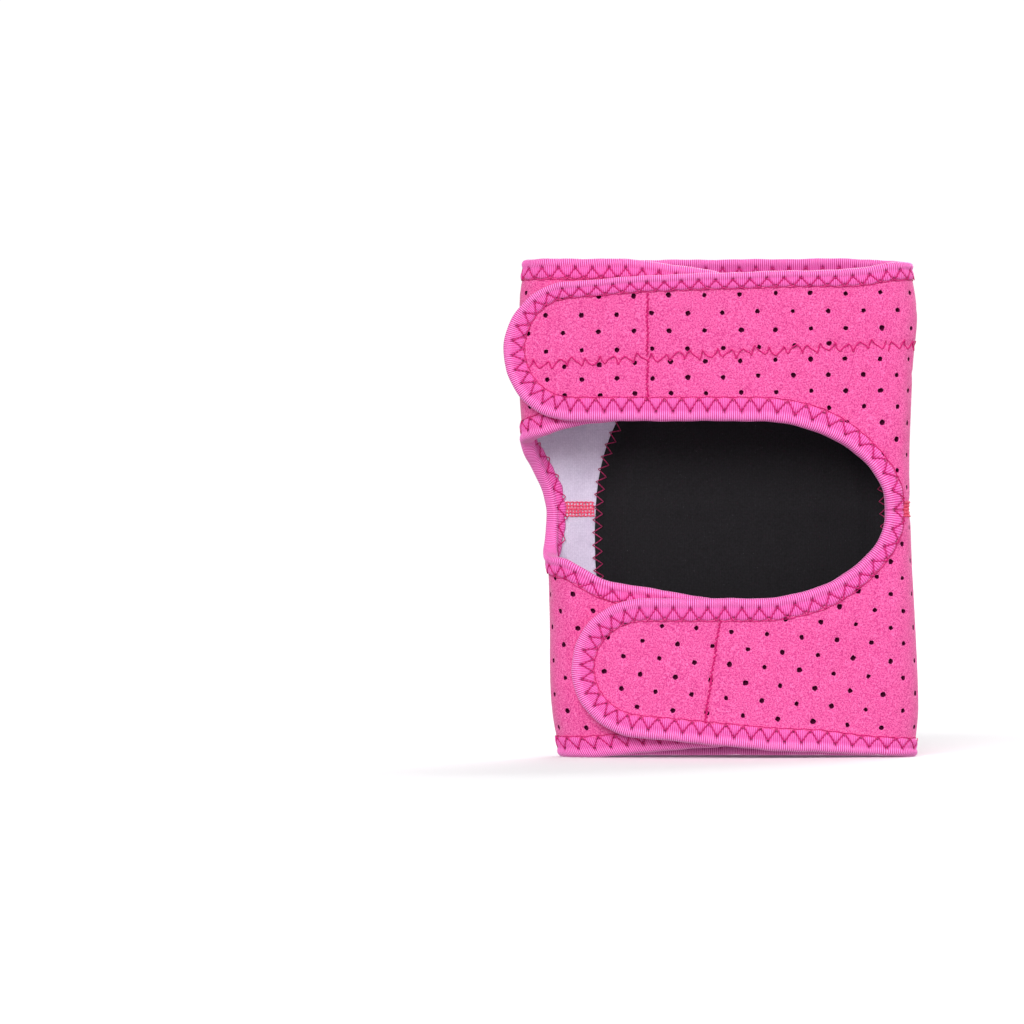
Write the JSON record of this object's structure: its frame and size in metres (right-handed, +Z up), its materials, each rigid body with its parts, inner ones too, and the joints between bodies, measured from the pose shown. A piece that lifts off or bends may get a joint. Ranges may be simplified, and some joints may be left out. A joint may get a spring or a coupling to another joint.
{
  "type": "knee support brace",
  "caption": "Wrap-around limb brace in perforated foam laminate: padded front wall, open back and hook-and-loop straps that swing open from one side.",
  "frame": {"origin": "centre of the overall box at the bottom rim, on which the brace stands", "axes": "+Z up along the limb, +Y out of the padded front wall, the straps close over the -Y side with their free ends towards -X"},
  "size_m": [0.1857, 0.0522, 0.225],
  "materials": {
    "loop_fabric": "brushed, matte",
    "sponge_rubber": "matte",
    "jersey_lining": "fine knit, matte",
    "binding_tape": "ribbed, slight sheen",
    "hook_tape": "fine hooks",
    "pad_cover_knit": "fine knit, matte",
    "pad_foam": "closed-cell foam",
    "seam_thread": "twisted thread"
  },
  "bodies": {
    "sleeve": {"bottom_binding": "binding_tape", "inner_knee_seam_threads": "seam_thread", "knee_pad_foam": "sponge_rubber", "lower_panel_fabric": "loop_fabric", "lower_panel_foam": "sponge_rubber", "lower_panel_lining": "jersey_lining", "lower_wing_binding": "binding_tape", "notch_binding": "binding_tape", "opening_binding": "binding_tape", "pad_cover": "pad_cover_knit", "seam_threads": "seam_thread", "top_band_fabric": "loop_fabric", "top_band_foam": "sponge_rubber", "top_band_lining": "jersey_lining", "top_binding": "binding_tape", "upper_panel_fabric": "loop_fabric", "upper_panel_foam": "sponge_rubber", "upper_panel_lining": "jersey_lining", "upper_wing_binding": "binding_tape"},
    "lower_tab": {"lower_hook_patch": "hook_tape", "lower_tab_binding": "binding_tape", "lower_tab_fabric": "loop_fabric", "lower_tab_foam": "sponge_rubber", "lower_tab_lining": "jersey_lining"},
    "lower_strap": {"lower_strap_binding": "binding_tape", "lower_strap_fabric": "loop_fabric", "lower_strap_foam": "sponge_rubber", "lower_strap_lining": "jersey_lining"},
    "upper_tab": {"upper_hook_patch": "hook_tape", "upper_tab_band_fabric": "loop_fabric", "upper_tab_band_foam": "sponge_rubber", "upper_tab_band_lining": "jersey_lining", "upper_tab_binding": "binding_tape", "upper_tab_fabric": "loop_fabric", "upper_tab_foam": "sponge_rubber", "upper_tab_lining": "jersey_lining", "upper_tab_seam_thread": "seam_thread"},
    "upper_strap": {"upper_strap_band_fabric": "loop_fabric", "upper_strap_band_foam": "sponge_rubber", "upper_strap_band_lining": "jersey_lining", "upper_strap_binding": "binding_tape", "upper_strap_fabric": "loop_fabric", "upper_strap_foam": "sponge_rubber", "upper_strap_lining": "jersey_lining", "upper_strap_seam_thread": "seam_thread"}
  },
  "joints": [
    {"name": "upper_strap_swing", "type": "hinge", "parent": "sleeve", "child": "upper_strap", "pos_m": [0.066, -0.0176, 0.18], "axis": [0, 0, 1], "range_deg": [0, 120]},
    {"name": "upper_tab_peel", "type": "hinge", "parent": "upper_strap", "child": "upper_tab", "pos_m": [-0.028, -0.0256, 0.182], "axis": [0, 0, 1], "range_deg": [0, 75]},
    {"name": "lower_strap_swing", "type": "hinge", "parent": "sleeve", "child": "lower_strap", "pos_m": [0.066, -0.0176, 0.04], "axis": [0, 0, 1], "range_deg": [0, 120]},
    {"name": "lower_tab_peel", "type": "hinge", "parent": "lower_strap", "child": "lower_tab", "pos_m": [0.0012, -0.0264, 0.039], "axis": [0.1461, 0, 0.9893], "range_deg": [0, 75]}
  ]
}
